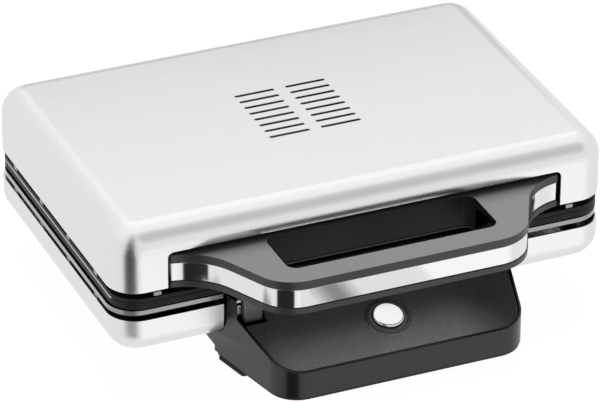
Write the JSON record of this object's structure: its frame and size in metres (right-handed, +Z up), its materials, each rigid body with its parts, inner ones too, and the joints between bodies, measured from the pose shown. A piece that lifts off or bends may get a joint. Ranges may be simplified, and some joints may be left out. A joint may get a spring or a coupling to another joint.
{
  "type": "panini press",
  "caption": "Flat countertop panini press: a hinged steel lid with a looped handle and latch hooks closes over ribbed plates, on a base whose sloping front holds a lit push button.",
  "frame": {"origin": "middle of the footprint, on the surface the press stands on", "axes": "+X to the right seen from the front, +Y towards the hinge at the back, +Z up"},
  "size_m": [0.28, 0.2482, 0.0894],
  "materials": {
    "steel": "satin brushed stainless sheet",
    "polished": "polished steel",
    "aluminium": "bare cast aluminium",
    "coated": "black non-stick coating on cast aluminium",
    "black_plastic": "fine textured black plastic",
    "grey_plastic": "satin grey plastic",
    "rubber": "black rubber",
    "smoke_lens": "dark lens plastic",
    "ceramic": "glazed ceramic",
    "board": "circuit board"
  },
  "bodies": {
    "base": {"lower_shell": "steel", "lower_reflector": "steel", "latch_catch_left": "polished", "latch_catch_right": "polished", "catch_stud_left": "polished", "catch_stud_right": "polished", "hinge_pin_left": "polished", "hinge_pin_right": "polished", "base_screw_front_left": "polished", "base_screw_front_right": "polished", "base_screw_rear_left": "polished", "base_screw_rear_right": "polished", "lower_trim_ring": "aluminium", "lower_heater": "aluminium", "thermal_fuse": "aluminium", "lower_plate": "coated", "base_body": "black_plastic", "base_cover": "black_plastic", "control_panel": "black_plastic", "button_bezel": "black_plastic", "hinge_mount_left": "black_plastic", "hinge_mount_right": "black_plastic", "lower_carrier": "black_plastic", "power_switch": "black_plastic", "cord_gland": "black_plastic", "foot_front_left": "rubber", "foot_front_right": "rubber", "foot_rear_left": "rubber", "foot_rear_right": "rubber", "light_ring": "smoke_lens", "thermostat_lower": "ceramic", "terminal_block": "ceramic", "led_board": "board"},
    "lid": {"handle_band": "polished", "handle_bottom": "black_plastic", "handle_bracket": "steel", "handle_core": "black_plastic", "handle_screw_left": "polished", "handle_screw_right": "polished", "handle_top": "grey_plastic", "hinge_arm_left": "black_plastic", "hinge_arm_right": "black_plastic", "latch_pin_left": "polished", "latch_pin_right": "polished", "thermostat_upper": "ceramic", "upper_carrier": "black_plastic", "upper_heater": "aluminium", "upper_plate": "coated", "upper_reflector": "steel", "upper_shell": "steel"},
    "latch": {"latch_bar": "black_plastic", "latch_hook_left": "black_plastic", "latch_hook_right": "black_plastic"},
    "button": {"power_button": "polished", "switch_plunger": "ceramic"}
  },
  "joints": [
    {"name": "lid_hinge", "type": "hinge", "parent": "base", "child": "lid", "pos_m": [0, 0.1189, 0.0475], "axis": [-1, 0, 0], "range_deg": [0, 105]},
    {"name": "latch_pivot", "type": "hinge", "parent": "lid", "child": "latch", "pos_m": [0, -0.0795, 0.0485], "axis": [-1, 0, 0], "range_deg": [0, 8]},
    {"name": "button_press", "type": "slide", "parent": "base", "child": "button", "axis": [0, 0.304, -0.9527], "range_m": [0, 0.0015], "stiffness_N_per_m": 400, "springref_m": -0.001}
  ]
}
